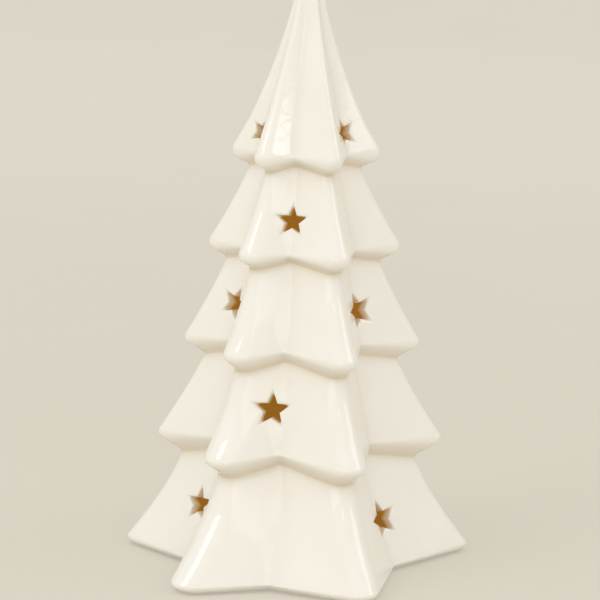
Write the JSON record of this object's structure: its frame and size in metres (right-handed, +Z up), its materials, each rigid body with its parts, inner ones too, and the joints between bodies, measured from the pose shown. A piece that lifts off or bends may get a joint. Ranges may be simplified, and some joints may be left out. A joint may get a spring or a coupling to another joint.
{
  "type": "light-up ceramic christmas tree",
  "caption": "Hollow glazed ceramic fir tree with flared tiers on a star-shaped outline and star cut-outs, lit from inside by a battery light unit that plugs into its base.",
  "frame": {"origin": "on the trunk axis, level with the underside of the felt that the tree stands on", "axes": "+Z up the trunk, -Y towards the front face, +X to the right seen from the front"},
  "size_m": [0.1157, 0.1053, 0.206],
  "materials": {
    "ivory_glaze": "glossy ivory glaze over pale earthenware",
    "felt": "pressed felt",
    "white_plastic": "moulded, fine texture",
    "steel": "plated steel",
    "silicone": "matt silicone",
    "frosted_plastic": "frosted, lets light through",
    "led_epoxy": "clear epoxy over phosphor",
    "tinned_wire": "tinned",
    "board_laminate": "solder mask",
    "resistor_coat": "lacquer",
    "black_plastic": "moulded",
    "cell_can": "nickel-plated can",
    "contact_nickel": "nickel-plated strip"
  },
  "bodies": {
    "tree": {"tree_shell": "ivory_glaze", "felt_base": "felt"},
    "light_unit": {"base_plate": "white_plastic", "light_housing": "white_plastic", "housing_screws": "steel", "grip_ring": "silicone", "diffuser_dome": "frosted_plastic", "led": "led_epoxy", "led_leads": "tinned_wire", "circuit_board": "board_laminate", "resistor": "resistor_coat", "switch_body": "steel", "coin_cell": "cell_can", "negative_spring": "contact_nickel", "positive_clip": "contact_nickel"},
    "battery_flap": {"battery_door": "white_plastic"},
    "switch": {"switch_slider": "black_plastic"}
  },
  "joints": [
    {"name": "light_unit_pull", "type": "slide", "parent": "tree", "child": "light_unit", "axis": [0, 0, -1], "range_m": [0, 0.042]},
    {"name": "battery_door_hinge", "type": "hinge", "parent": "light_unit", "child": "battery_flap", "pos_m": [-0.0145, 0, 0.0023], "axis": [0, 1, 0], "range_deg": [0, 100]},
    {"name": "switch_slide", "type": "slide", "parent": "light_unit", "child": "switch", "axis": [0, 1, 0], "range_m": [0, 0.0025]}
  ]
}
